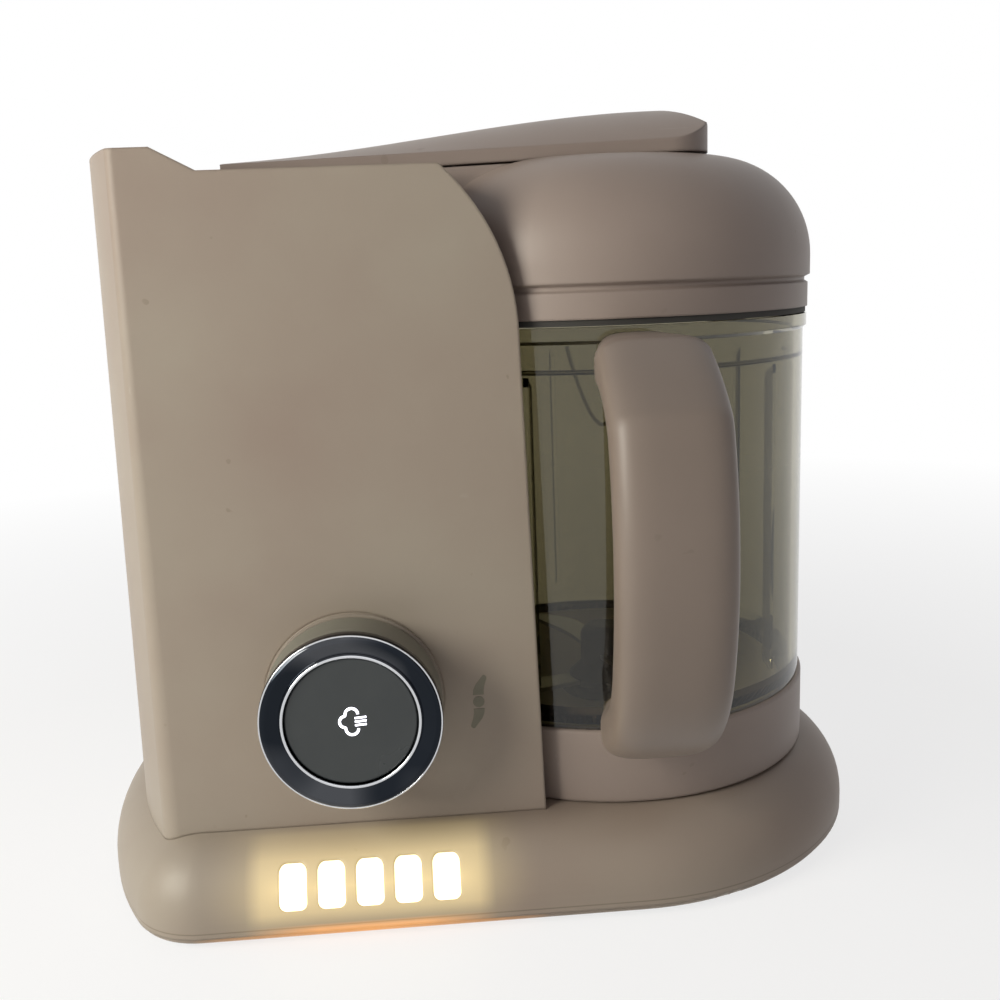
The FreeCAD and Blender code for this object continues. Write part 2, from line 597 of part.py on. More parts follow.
def lid_pieces():
    dome = turn("dome_outer", [
        ("0", "skirt_under"), ("skirt_radius", "skirt_under"), ("skirt_radius", "skirt_top"),
        ("skirt_radius - 1", "skirt_top + 0.6"), ("skirt_radius - 1", "skirt_top + 1.6"),
        ("lid_radius", "skirt_top + 2.4"), ("lid_radius", "dome_bend", "dome_arc"),
        ("lid_radius - dome_arc", "dome_bend + dome_arc"), ("0", "dome_bend + dome_arc + 1.5")])
    place(dome, "bowl_x")
    above = "recess_z + lever_rise + 2"
    neck = block("neck_outer", ("neck_left", "-neck_half", "neck_under"),
                 ("bowl_x", "neck_half", above))
    knuckle = rod("lid_knuckle", "knuckle", "2 * knuckle_half", "hinge_x", "-knuckle_half", "hinge_z",
                  along="y")
    arm = block("lid_arm", ("hinge_x", "-knuckle_half", "hinge_z - knuckle"),
                ("neck_left + 2", "knuckle_half", above))
    # The recess under the lever climbs with it towards the free end.
    slope = "lever_rise / (lever_right - lever_left)"
    plan = pad("recess_plan", lever_plan("0.8"), "60", offset="recess_z - 10")
    side = pad("recess_side", [
        ("lever_left - 40", "recess_z - 40 * " + slope), ("lever_right + 5", "recess_z + lever_rise"),
        ("lever_right + 5", "recess_z + 40"), ("lever_left - 40", "recess_z + 40")],
        "4 * lever_half", role="XZ_Plane", middle=True)
    recess = common("lever_recess", plan, side)
    bore = rod("knuckle_bore", "pin_radius + running", "100", "hinge_x", "-50", "hinge_z", along="y")
    inside = "lid_radius - lid_wall - 2"
    ceiling = "dome_bend + dome_arc - lid_wall - 2"
    room = turn("dome_room", [
        ("0", "skirt_under - 1"), (inside, "skirt_under - 1"),
        (inside, "dome_bend", "dome_arc - lid_wall - 2"), ("lid_radius - dome_arc", ceiling),
        ("0", ceiling)])
    place(room, "bowl_x")
    neck_room = block("neck_room", ("neck_left + lid_wall", "-neck_half + lid_wall",
                                    "neck_under + lid_wall"),
                      ("bowl_x", "neck_half - lid_wall", "recess_z - lid_wall"))
    keep(cut("lid_dome", join("lid_solid", [dome, neck, knuckle, arm]),
             [recess, bore, room, neck_room]), "lid_dome")

    keep(turn("lid_inner_plate", [("6", "skirt_under"), (inside, "skirt_under"),
                                  (inside, "skirt_under + 2"), ("6", "skirt_under + 2")]),
         "lid_inner_plate", "bowl_x")
    keep(turn("lid_gasket", [
        ("glass_radius - glass_wall", "glass_top + 0.3"), ("rim_radius - 0.4", "glass_top + 0.3"),
        ("rim_radius - 0.4", "skirt_under"), ("glass_radius - glass_wall", "skirt_under")]),
        "lid_gasket", "bowl_x")
    keep(turn("tank_seal", [("0", "deck_top + 0.4"), ("mouth_radius + 2", "deck_top + 0.4"),
                            ("mouth_radius", "neck_under"), ("0", "neck_under")]),
         "tank_seal", "mouth_x + 4")


def lever_plan(gap):
    # Plan of the lever, or of the recess that it lies in: square at the hinge, round at the end.
    half = "(lever_half + %s)" % gap
    end = "(lever_right - 1 + %s)" % gap
    bend = "(lever_bend + %s)" % gap
    left = "(lever_left - 40 * %s)" % gap
    return [
        (left, "-" + half),
        ("%s - %s" % (end, bend), "-" + half, bend),
        (end, "%s - %s" % (bend, half), "lever_end"),
        (end, "%s - %s" % (half, bend), bend),
        ("%s - %s" % (end, bend), half),
        (left, half),
    ]


def lever_pieces():
    # Crowned plate: lofted through four even cross-sections, then given its plan and round end.
    body = doc.addObject("PartDesign::Body", "lever_crown")
    sections = []
    for step, crown in enumerate(("2.5", "6.2", "10.6", "10.8")):
        x = "lever_left + (lever_right + 1 - lever_left) * %d / 3" % step
        radius = "(lever_half^2 + (%s)^2) / (2 * %s)" % (crown, crown)
        under = "lever_under + lever_rise * %d / 3" % step
        edge = "lever_edge + lever_rise * %d / 3" % step
        sections.append(sketch_in(body, [
            ("-lever_half", under), ("lever_half", under), ("lever_half", edge, radius),
            ("0", "%s + %s" % (edge, crown), radius), ("-lever_half", edge)], "YZ_Plane", x))
    loft = body.newObject("PartDesign::AdditiveLoft", "lever_loft")
    loft.Profile = sections[0]
    loft.Sections = sections[1:]
    plan = pad("lever_plan", lever_plan("0"), "40", offset="lever_under - 5")
    top = "lever_edge + lever_rise + lever_crown"
    side = pad("lever_side", [
        ("lever_left", "lever_under - 2"), ("lever_right", "lever_under - 2"),
        ("lever_right", "lever_edge + lever_rise + 1.6", "24"), ("lever_right - 16", top),
        ("lever_left", top)], "4 * lever_half", role="XZ_Plane", middle=True)
    shaped = common("lever_end", plan, side)
    plate = common("lever_plate", body, shaped)
    ends = [rod("lever_knuckle", "knuckle", "lever_half - knuckle_half - 0.5", "hinge_x", y, "hinge_z",
                along="y") for y in ("-lever_half", "knuckle_half + 0.5")]
    webs = [block("lever_web", ("hinge_x - knuckle", y, "hinge_z"),
                  ("hinge_x + knuckle", y + " + lever_half - knuckle_half - 0.5", "lever_under + 1"))
            for y in ("-lever_half", "knuckle_half + 0.5")]
    bore = rod("lever_bore", "pin_radius + running", "100", "hinge_x", "-50", "hinge_z", along="y")
    keep(cut("lid_lever", join("lever_solid", [plate] + ends + webs), [bore]), "lid_lever")


def check_and_write():
    doc.recompute()
    for thing in doc.Objects:
        if "Invalid" in thing.State or "Error" in thing.State:
            raise RuntimeError("%s failed: %s" % (thing.Label, thing.State))
    os.makedirs("parts", exist_ok=True)
    for piece in pieces:
        if piece.Shape.isNull() or not piece.Shape.isValid():
            raise RuntimeError("%s has no valid shape" % piece.Label)
    for piece in pieces:
        piece.Shape.exportStep("parts/%s.step" % piece.Label)
        print(piece.Label, len(piece.Shape.Solids), round(piece.Shape.Volume / 1000, 2), "cm3")


fill_sheet()
base_pieces()
tower_pieces()
boiler_pieces()
drive_pieces()
knob_pieces()
bowl_pieces()
blade_pieces()
lid_pieces()
lever_pieces()
check_and_write()
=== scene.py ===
import math
import bpy
import bmesh
from mathutils import Matrix, Vector
from mathutils.bvhtree import BVHTree


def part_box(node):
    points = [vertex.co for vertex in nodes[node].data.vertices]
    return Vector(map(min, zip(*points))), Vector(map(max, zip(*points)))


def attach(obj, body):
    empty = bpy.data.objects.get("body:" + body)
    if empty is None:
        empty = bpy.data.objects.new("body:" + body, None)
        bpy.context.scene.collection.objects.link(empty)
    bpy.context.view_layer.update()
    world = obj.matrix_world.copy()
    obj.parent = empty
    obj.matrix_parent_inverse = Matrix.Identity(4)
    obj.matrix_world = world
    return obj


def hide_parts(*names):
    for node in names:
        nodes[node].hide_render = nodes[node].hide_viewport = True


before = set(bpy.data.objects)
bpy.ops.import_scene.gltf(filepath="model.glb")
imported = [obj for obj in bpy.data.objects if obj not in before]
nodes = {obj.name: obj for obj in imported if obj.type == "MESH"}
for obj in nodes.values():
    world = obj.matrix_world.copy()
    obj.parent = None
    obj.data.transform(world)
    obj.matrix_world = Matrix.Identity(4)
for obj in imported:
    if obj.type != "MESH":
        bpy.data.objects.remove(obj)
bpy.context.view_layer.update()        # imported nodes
scene = bpy.context.scene
millimetre = 0.001
noLight = (0.0, 0.0, 0.0, 1.0)
fullWhite = (1.0, 1.0, 1.0, 1.0)
print("frame loaded:", len(nodes), "nodes")


class Wire:        # one output socket, with arithmetic that adds Math nodes
    def __init__(self, graph, socket):
        self.graph = graph
        self.socket = socket

    def maths(self, operation, first, second=0.0, third=0.0):
        node = self.graph.add("ShaderNodeMath", {"operation": operation}, {0: first, 1: second, 2: third})
        return node.out("Value")

    def __add__(self, other):
        return self.maths("ADD", self, other)

    def __radd__(self, other):
        return self.maths("ADD", other, self)

    def __sub__(self, other):
        return self.maths("SUBTRACT", self, other)

    def __rsub__(self, other):
        return self.maths("SUBTRACT", other, self)

    def __mul__(self, other):
        return self.maths("MULTIPLY", self, other)

    def __rmul__(self, other):
        return self.maths("MULTIPLY", other, self)

    def __truediv__(self, other):
        return self.maths("DIVIDE", self, other)

    def __rtruediv__(self, other):
        return self.maths("DIVIDE", other, self)

    def __pow__(self, other):
        return self.maths("POWER", self, other)

    def __abs__(self):
        return self.maths("ABSOLUTE", self)

    def positive(self):        # nothing below 0
        return self.maths("MAXIMUM", self, 0.0)

    def clamped(self):        # kept between 0 and 1
        return self.maths("MINIMUM", self.positive(), 1.0)

    def above(self, edge, width):        # 0 below the edge, 1 above it, soft over the width
        return ((self - edge) / width + 0.5).clamped()


class Placed:        # a node that has been added, asked for its outputs by name
    def __init__(self, graph, node):
        self.graph = graph
        self.node = node

    def out(self, name=0):
        return Wire(self.graph, self.node.outputs[name])


class Graph:        # the node tree of one material, or of the world
    def __init__(self, name, home=bpy.data.materials):
        self.owner = home.new(name)
        self.owner.use_nodes = True
        self.tree = self.owner.node_tree
        self.tree.nodes.clear()

    def add(self, kind, settings=None, sockets=None):        # settings first, then values or links
        node = self.tree.nodes.new(kind)
        for name, value in (settings or {}).items():
            setattr(node, name, value)
        for name, value in (sockets or {}).items():
            if isinstance(value, Wire):
                self.tree.links.new(value.socket, node.inputs[name])
            else:
                node.inputs[name].default_value = value
        return Placed(self, node)

    def where(self):
        return self.add("ShaderNodeTexCoord").out("Object")

    def axes(self):
        split = self.add("ShaderNodeSeparateXYZ", None, {0: self.where()})
        return split.out("X"), split.out("Y"), split.out("Z")

    def noise(self, scale, detail=2.0, roughness=0.5, vector=None):
        sockets = {"Scale": scale, "Detail": detail, "Roughness": roughness}
        sockets["Vector"] = vector or self.where()
        return self.add("ShaderNodeTexNoise", None, sockets).out("Fac")

    def spots(self, scale, detail, edge, width):        # noise cut into soft patches
        return self.noise(scale, detail).above(edge, width)

    def stretched(self, scale, turn=(0.0, 0.0, 0.0)):        # the place, drawn out for scratches and brushing
        sockets = {"Vector": self.where(), "Rotation": turn, "Scale": scale}
        return self.add("ShaderNodeMapping", None, sockets).out("Vector")

    def mix(self, factor, first, second):        # two colours; sockets by number, as several share a name
        return self.add("ShaderNodeMix", {"data_type": "RGBA"}, {0: factor, 6: first, 7: second}).out(2)

    def bump(self, height, strength, distance, normal=None):
        sockets = {"Height": height, "Strength": strength, "Distance": distance}
        if normal:
            sockets["Normal"] = normal
        return self.add("ShaderNodeBump", None, sockets).out("Normal")

    def roundEdges(self, radius):        # soft moulded edges in the shading
        return self.add("ShaderNodeBevel", {"samples": 4}, {"Radius": radius}).out("Normal")

    def seenPath(self):        # 1 where the camera, a mirror or clear plastic looks at it
        path = self.add("ShaderNodeLightPath")
        rays = [path.out(name) for name in ("Is Camera Ray", "Is Glossy Ray", "Is Transmission Ray")]
        return (rays[0] + rays[1] + rays[2]).clamped()

    def blend(self, factor, first, second):        # two shaders
        return self.add("ShaderNodeMixShader", None, {0: factor, 1: first, 2: second}).out()

    def finish(self, shader, kind="Material"):
        self.add("ShaderNodeOutput" + kind, None, {"Surface": shader})
        return self.owner

    def shader(self, sockets):
        return self.add("ShaderNodeBsdfPrincipled", None, sockets).out("BSDF")

    def principled(self, sockets):
        return self.finish(self.shader(sockets))


def rgb(red, green, blue):        # a colour as a screen shows it, 0 to 255, made linear
    def linear(level):
        level = level / 255
        return level / 12.92 if level <= 0.04045 else ((level + 0.055) / 1.055) ** 2.4
    return (linear(red), linear(green), linear(blue), 1.0)


def arcPoints(centre, radius, first, last, count):        # angles in degrees
    turns = [math.radians(first + (last - first) * i / count) for i in range(count + 1)]
    return [(centre[0] + radius * math.cos(t), centre[1] + radius * math.sin(t)) for t in turns]


def ringPoints(centre, radius, count):        # all round, without the first point again
    return arcPoints(centre, radius, 0.0, 360.0 - 360.0 / count, count - 1)


def middleOf(name):        # a node's lowest and highest corners, and the middle between them
    low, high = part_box(name)
    return low, high, (low + high) * 0.5


def wear(nodeNames, material):        # put one finish on CAD nodes
    for name in nodeNames:
        mesh = nodes[name].data
        mesh.materials.clear()
        mesh.materials.append(material)


def linked(name, data):        # a new object, put in the scene
    thing = bpy.data.objects.new(name, data)
    scene.collection.objects.link(thing)
    return thing


def meshPiece(name, build, material):        # an object from finished mesh code
    mesh = bpy.data.meshes.new(name)
    build.to_mesh(mesh)
    build.free()
    mesh.materials.append(material)
    return linked(name, mesh)


def skin(build, first, second):        # quads between two rings of vertices
    count = len(first)
    for k in range(count):
        build.faces.new((first[k], first[(k + 1) % count], second[(k + 1) % count], second[k]))


# camera at the photograph's viewing angle, turns in radians
view = {"place": (-0.01426, -0.3343, 0.1758), "yaw": 0.066, "pitch": 0.200, "roll": 0.039,
        "focalPixels": 1098.0, "frameSize": 1000, "sensor": 36.0, "nearest": 0.01}


def makeCamera():
    yaw, pitch, roll = view["yaw"], view["pitch"], view["roll"]
    forward = Vector((math.sin(yaw) * math.cos(pitch), math.cos(yaw) * math.cos(pitch), -math.sin(pitch)))
    right = Vector((math.cos(yaw), -math.sin(yaw), 0))
    down = forward.cross(right)
    across = right * math.cos(roll) + down * math.sin(roll)
    upward = right * math.sin(roll) - down * math.cos(roll)
    data = bpy.data.cameras.new("photoCamera")
    data.sensor_width = view["sensor"]
    data.lens = view["focalPixels"] * view["sensor"] / view["frameSize"]
    data.clip_start = view["nearest"]
    camera = linked("photoCamera", data)
    turn = Matrix((across, upward, -forward)).transposed().to_4x4()
    camera.matrix_world = Matrix.Translation(Vector(view["place"])) @ turn
    scene.camera = camera


makeCamera()
print("camera set")


# satin moulded plastic of the housings; spots and patches are noise scale, detail, edge and softness
bodyFinish = {"colour": rgb(158, 149, 136), "shade": rgb(145, 130, 119), "clouds": (14.0, 3.0),
              "cloudEdge": (0.5, 0.5), "roughness": 0.42, "cloudRough": 0.08, "scuffRough": 0.08, "grainRough": 0.04,
              "grain": (2600.0, 2.0), "grainStrength": 0.25, "grainDepth": 0.00002, "edge": 0.0011, "index": 1.47,
              "scuff": rgb(176, 168, 156), "scuffLevel": 0.35, "scuffTurn": (0.3, 0.9, 0.5),
              "scuffStretch": (30.0, 420.0, 60.0), "scuffNoise": (1.0, 3.0, 0.6), "scuffEdge": (0.72, 0.03),
              "scuffPatches": (30.0, 2.0, 0.58, 0.08),
              "dirt": rgb(104, 92, 78), "dirtLevel": 0.3, "dirtSpots": (210.0, 1.0, 0.77, 0.02),
              "dirtPatches": (22.0, 2.0, 0.55, 0.1), "partingHalf": 0.0003, "partingLevel": 0.7}
lidFinish = dict(bodyFinish, colour=rgb(152, 139, 131), shade=rgb(138, 124, 116), roughness=0.40)


def mouldedPlastic(name, finish, glow=None):
    graph = Graph(name)
    clouds = graph.noise(*finish["clouds"])
    tint = graph.mix(clouds.above(*finish["cloudEdge"]), finish["colour"], finish["shade"])
    drawn = graph.stretched(finish["scuffStretch"], finish["scuffTurn"])
    marks = graph.noise(*finish["scuffNoise"], drawn).above(*finish["scuffEdge"])
    marks = marks * graph.spots(*finish["scuffPatches"])
    specks = graph.spots(*finish["dirtSpots"]) * graph.spots(*finish["dirtPatches"])
    tint = graph.mix(marks * finish["scuffLevel"], tint, finish["scuff"])
    tint = graph.mix(specks * finish["dirtLevel"], tint, finish["dirt"])
    grain = graph.noise(*finish["grain"])
    rounded = graph.roundEdges(finish["edge"])
    rough = finish["roughness"] + clouds * finish["cloudRough"] - marks * finish["scuffRough"]
    sockets = {"Base Color": tint, "Roughness": rough + grain * finish["grainRough"], "IOR": finish["index"],
               "Normal": graph.bump(grain, finish["grainStrength"], finish["grainDepth"], rounded)}
    if "parting" in finish:        # fine dark line round the foot of the base
        height = graph.axes()[2]
        line = (1.0 - abs(height - finish["parting"]) / finish["partingHalf"]).clamped()
        sockets["Base Color"] = graph.mix(line * finish["partingLevel"], tint, finish["dirt"])
    if glow:
        sockets["Emission Color"] = glow(graph)
        sockets["Emission Strength"] = 1.0
    return graph.principled(sockets)


# warm light that spreads in the base's wall round the lit windows, and leaks out along the bottom
lampGlow = {"panel": (0.0072, 0.0030), "panelEdge": 0.0045, "panelLevel": 0.23,
            "reach": 0.024, "flatten": 1.6, "strength": 0.42, "colour": rgb(255, 226, 152),
            "front": (0.01, 0.004),        # depth behind the windows' middle where the glow ends, and its softness
            "leak": 0.6, "leakColour": rgb(255, 164, 56), "leakTop": 0.0056, "leakEdge": 0.0016, "leakSpread": 0.02,
            "plateFront": (0.006, 0.002), "plateFade": 0.7}


def spreadLight(graph):
    low, high, middle = middleOf("light_windows")
    x, y, z = graph.axes()
    beside = abs(x - middle.x) - (high.x - low.x) * 0.5
    over = abs(z - middle.z) - (high.z - low.z) * 0.5
    away = (beside.positive() ** 2.0 + (z - middle.z) ** 2.0 * lampGlow["flatten"]) ** 0.5
    depth, soft = lampGlow["front"]
    front = (middle.y + depth - y).above(0.0, soft)
    wide, tall = lampGlow["panel"]
    edge = lampGlow["panelEdge"]
    panel = (1.0 - beside.above(wide, edge)) * (1.0 - over.above(tall, edge))
    halo = (1.0 - away / lampGlow["reach"]).clamped() ** 2.0
    level = halo * lampGlow["strength"] + panel * lampGlow["panelLevel"]
    glow = graph.mix(level * front, noLight, lampGlow["colour"])
    foot = 1.0 - z.above(lampGlow["leakTop"], lampGlow["leakEdge"])
    foot = foot * (1.0 - beside.above(0.0, lampGlow["leakSpread"])) * front
    return graph.mix(foot * lampGlow["leak"], glow, lampGlow["leakColour"])


def leakLight(graph):        # orange line along the bottom parting under the windows
    low, high, middle = middleOf("light_windows")
    x, y = graph.axes()[:2]
    half = (high.x - low.x) * 0.5 + lampGlow["reach"]
    along = (1.0 - abs(x - middle.x) / half).clamped() ** lampGlow["plateFade"]
    depth, soft = lampGlow["plateFront"]
    level = along * (low.y + depth - y).above(0.0, soft) * lampGlow["leak"]
    return graph.mix(level, noLight, lampGlow["leakColour"])


wear(["tower_housing", "knob_seat"], mouldedPlastic("taupePlastic", bodyFinish))
litFinish = dict(bodyFinish, parting=lampGlow["leakTop"])
wear(["base_shell"], mouldedPlastic("taupePlasticLit", litFinish, spreadLight))
wear(["bottom_plate"], mouldedPlastic("taupePlasticLeak", bodyFinish, leakLight))
wear(["lid_dome", "lid_lever", "bowl_collar", "bowl_handle"], mouldedPlastic("mauvePlastic", lidFinish))
print("housings finished")


# clear bowl, a little smoky; its dark olive tint is partly the plastic's own and partly painted shade for dark
# surroundings seen through it
bowlFinish = {"colour": rgb(146, 141, 120), "passing": rgb(236, 234, 226), "index": 1.5,
              "roughness": 0.0, "smear": 0.012, "smearSpots": (26.0, 3.0, 0.6, 0.3),
              "ripple": (9.0, 2.0), "rippleStrength": 0.06, "rippleDepth": 0.002}


def clearPlastic():        # lamps reach what is inside the bowl
    graph = Graph("clearBowl")
    smear = graph.spots(*bowlFinish["smearSpots"])
    ripple = graph.noise(*bowlFinish["ripple"])
    clear = graph.shader({
        "Base Color": bowlFinish["colour"], "Transmission Weight": 1.0, "IOR": bowlFinish["index"],
        "Roughness": bowlFinish["roughness"] + smear * bowlFinish["smear"],
        "Normal": graph.bump(ripple, bowlFinish["rippleStrength"], bowlFinish["rippleDepth"])})
    passing = graph.add("ShaderNodeBsdfTransparent", None, {"Color": bowlFinish["passing"]}).out()
    lampRay = graph.add("ShaderNodeLightPath").out("Is Shadow Ray")
    return graph.finish(graph.blend(lampRay, clear, passing))


clearBowl = clearPlastic()
wear(["bowl_glass"], clearBowl)


# pale floor and foot inside the clear bowl, round the blade's shaft
bowlFloor = {"sides": 72,
             "profile": ((14.3, 2.6), (51.0, 2.6), (53.9, 3.3), (56.0, 5.2), (57.05, 8.5), (57.05, 12.6),
                         (56.6, 13.2), (56.2, 12.6), (55.9, 8.9), (55.0, 5.9), (53.3, 4.2), (50.8, 3.5),
                         (14.6, 3.5)),        # radius, and height over the bowl's underside, in millimetres
             "finish": dict(lidFinish, colour=rgb(228, 221, 204), shade=rgb(214, 206, 188))}


def makeBowlFloor():
    low, high, middle = middleOf("bowl_glass")
    build = bmesh.new()
    loops = []
    for radius, rise in bowlFloor["profile"]:
        spots = ringPoints((middle.x, middle.y), radius * millimetre, bowlFloor["sides"])
        loops.append([build.verts.new((x, y, low.z + rise * millimetre)) for x, y in spots])
    for first, second in zip(loops, loops[1:] + loops[:1]):
        skin(build, first, second)
    bmesh.ops.recalc_face_normals(build, faces=build.faces)
    for face in build.faces:
        face.smooth = True
    disc = meshPiece("bowlFloor", build, mouldedPlastic("bowlFloorPlastic", bowlFloor["finish"]))
    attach(disc, "bowl")


# fine raised lines inside the bowl: a level line round the front, and the pouring lip's outline at the back
bowlLines = {"bead": 0.0007, "inset": 0.0039,        # half the line's width, and from the outside to the inner wall
             "level": 0.150, "levelTurn": (185.0, 355.0), "levelSteps": 48,
             "lipTurn": 80.0, "lipHalf": 0.013, "lipLow": 0.1195, "lipHigh": 0.1495, "lipCurve": 1.7, "lipSteps": 32}


def fineLine(name, points, closed, depth, material):        # a fine round bead along points
    data = bpy.data.curves.new(name, "CURVE")
    data.dimensions = "3D"
    data.bevel_depth = depth
    data.bevel_resolution = 2
    data.use_fill_caps = True
    spline = data.splines.new("POLY")
    spline.points.add(len(points) - 1)
    for spot, point in zip(spline.points, points):
        spot.co = (*point, 1.0)
    spline.use_cyclic_u = closed
    data.materials.append(material)
    return linked(name, data)


def bowlLine(name, points):
    line = fineLine(name, points, False, bowlLines["bead"], clearBowl)
    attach(line, "bowl")


def makeBowlLines():
    low, high, middle = middleOf("bowl_glass")
    radius = (high.x - low.x) * 0.5 - bowlLines["inset"]
    front = arcPoints((middle.x, middle.y), radius, *bowlLines["levelTurn"], bowlLines["levelSteps"])
    bowlLine("bowlLevelLine", [(x, y, bowlLines["level"]) for x, y in front])
    centre = math.radians(bowlLines["lipTurn"])
    lip = []
    for i in range(bowlLines["lipSteps"] + 1):
        side = 2 * i / bowlLines["lipSteps"] - 1
        t = centre - side * bowlLines["lipHalf"] / radius
        rise = (bowlLines["lipHigh"] - bowlLines["lipLow"]) * abs(side) ** bowlLines["lipCurve"]
        lip.append((middle.x + radius * math.cos(t), middle.y + radius * math.sin(t), bowlLines["lipLow"] + rise))
    bowlLine("bowlLipLine", lip)


makeBowlFloor()
makeBowlLines()


# handle: one bowed grip with a flattened thumb rest, narrower where it meets the rim and the collar
# in millimetres and degrees, y from the bowl's axis; a heading is 0 outwards and 90 straight down
handle = {"reach": 0.115,        # of the grip from the bowl's axis, in metres
          "half": 14.5, "rootHalf": 10.5, "rootStart": 84.0, "rootRun": 18.0, "thick": 15.0, "square": 3.4,
          "thumbFlat": 0.8, "thumbTurn": (36.0, 27.0), "ringPoints": 40,
          "top": 160.5, "topPlaces": (-61.5, -66.0, -71.0, -77.0),
          "footTurn": 165.0, "footRuns": (5.0, 10.0, 15.5, 21.0),
          # the grip wears the lid's plastic made darker, as painted shade
          "finish": dict(lidFinish, colour=rgb(134, 121, 112), shade=rgb(120, 108, 99), roughness=0.36)}
gripArcs = [((-81.75, 130.5), 30.0, 0.0, 73.6, 24), ((-5.0, 107.91), 110.0, 73.6, 106.4, 12),
            ((-72.15, 88.15), 40.0, 106.4, handle["footTurn"], 14)]        # centre, radius, headings, steps


def gripStations():        # outer line of the grip as (y, z, heading)
    line = [(y, handle["top"], 0.0) for y in handle["topPlaces"]]
    for (y, z), radius, first, last, steps in gripArcs:
        for i in range(steps + (last == handle["footTurn"])):
            turn = math.radians(first + (last - first) * i / steps)
            line.append((y - radius * math.sin(turn), z + radius * math.cos(turn), math.degrees(turn)))
    y, z, heading = line[-1]
    fall = math.tan(math.radians(180.0 - handle["footTurn"]))
    return line + [(y + run, z - run * fall, heading) for run in handle["footRuns"]]


def thumbRest(heading):        # how far a flat facet lies inside the round of the upper bend
    middle, spread = handle["thumbTurn"]
    away = abs(heading - middle)
    if away > spread:
        return 0.0
    return gripArcs[0][1] * (1 - math.cos(math.radians(spread)) / math.cos(math.radians(away))) * handle["thumbFlat"]


def squared(level):        # a circle's -1 to 1, pushed out towards a rounded square
    return math.copysign(abs(level) ** (2 / handle["square"]), level)


def makeHandle():
    low, high, middle = middleOf("bowl_handle")
    axisY = low.y + handle["reach"]
    build = bmesh.new()
    rings = []
    for y, z, heading in gripStations():
        turn = math.radians(heading)
        inward = Vector((math.sin(turn), -math.cos(turn)))
        root = min(max((y + handle["rootStart"]) / handle["rootRun"], 0.0), 1.0)
        half = handle["half"] - (handle["half"] - handle["rootHalf"]) * root * root * (3 - 2 * root)
        flat = thumbRest(heading)
        ring = []
        for k in range(handle["ringPoints"]):
            t = math.tau * k / handle["ringPoints"]
            across = squared(math.cos(t)) * half
            into = flat + (1 + squared(math.sin(t))) * 0.5 * (handle["thick"] - flat)
            spot = (Vector((y, z)) + inward * into) * millimetre
            ring.append(build.verts.new((middle.x + across * millimetre, axisY + spot.x, spot.y)))
        rings.append(ring)
    for first, second in zip(rings, rings[1:]):
        skin(build, first, second)
    build.faces.new(rings[0])
    build.faces.new(rings[-1])
    bmesh.ops.recalc_face_normals(build, faces=build.faces)
    for face in build.faces:
        face.smooth = len(face.verts) == 4        # the two end caps stay flat
    grip = meshPiece("bowlHandle", build, mouldedPlastic("handlePaintedShadePlastic", handle["finish"]))
    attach(grip, "bowl")
    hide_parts("bowl_handle")


makeHandle()
print("bowl made")


# knob: grey skirt, mirror ring coloured dark with pale patches as painted reflections, bright beads on its edges as
# painted highlights, and dark gloss face
knobFinish = {"skirt": dict(bodyFinish, colour=rgb(126, 125, 114), shade=rgb(112, 112, 104), roughness=0.34),
              "chrome": rgb(34, 38, 44), "paintedReflectionPale": rgb(74, 76, 80), "paintedReflectionSpots": (34.0, 1.0, 0.52, 0.16),
              "chromeRough": 0.05, "printRough": 0.07, "printSpots": (70.0, 3.0, 0.6, 0.2),
              "face": rgb(48, 53, 55), "smudge": rgb(62, 66, 66), "smudgeSpots": (60.0, 4.0, 0.55, 0.4),
              "smudgeLevel": 0.3, "faceRough": 0.18, "smudgeRough": 0.14, "faceEdge": 0.0005, "faceIndex": 1.5,
              # the pale bead colour is a painted highlight on the ring's edges
              "rim": rgb(206, 208, 212), "rimRough": 0.06, "wipe": (120.0, 2.0), "wipeRough": 0.1, "rimPoints": 96,
              "rims": (("knobRimOuter", 0.02375, 0.00075, 0.00028),        # name, radius, depth and bead
                       ("knobRimInner", 0.0181, 0.0013, 0.00048))}


# the ring's dark colour is a painted reflection of dark surroundings, and its pale patches are painted reflections
def platedRing():
    graph = Graph("mirrorRing")
    prints = graph.spots(*knobFinish["printSpots"])
    paintedReflection = graph.spots(*knobFinish["paintedReflectionSpots"])        # painted reflections: pale patches over the dark chrome
    tint = graph.mix(paintedReflection, knobFinish["chrome"], knobFinish["paintedReflectionPale"])
    rough = knobFinish["chromeRough"] + prints * knobFinish["printRough"]
    return graph.principled({"Base Color": tint, "Metallic": 1.0, "Roughness": rough})


def glossFace():
    graph = Graph("glossFace")
    smudge = graph.spots(*knobFinish["smudgeSpots"])
    tint = graph.mix(smudge * knobFinish["smudgeLevel"], knobFinish["face"], knobFinish["smudge"])
    rough = knobFinish["faceRough"] + smudge * knobFinish["smudgeRough"]
    return graph.principled({"Base Color": tint, "Roughness": rough, "IOR": knobFinish["faceIndex"],
                             "Normal": graph.roundEdges(knobFinish["faceEdge"])})


wear(["knob_skirt"], mouldedPlastic("skirtPlastic", knobFinish["skirt"]))
wear(["knob_ring"], platedRing())
wear(["knob_button"], glossFace())


def makeKnobHighlights():        # painted highlights: bright metal beads on the edges of the mirror ring, outside and round the button
    low, high, middle = middleOf("knob_ring")
    graph = Graph("paintedHighlightRim")
    rough = knobFinish["rimRough"] + graph.noise(*knobFinish["wipe"]) * knobFinish["wipeRough"]
    bright = graph.principled({"Base Color": knobFinish["rim"], "Metallic": 1.0, "Roughness": rough})
    for name, radius, back, bead in knobFinish["rims"]:
        spots = ringPoints((middle.x, middle.z), radius, knobFinish["rimPoints"])
        rim = fineLine(name, [(x, low.y + back, z) for x, z in spots], True, bead, bright)
        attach(rim, "knob")


makeKnobHighlights()
print("knob finished")


# lit windows in the base
lampFinish = {"colour": rgb(255, 242, 204), "edge": rgb(255, 212, 124), "cells": (240.0, 1.0), "cellLevel": 0.4,
              "roughness": 0.4, "strength": 1.7}


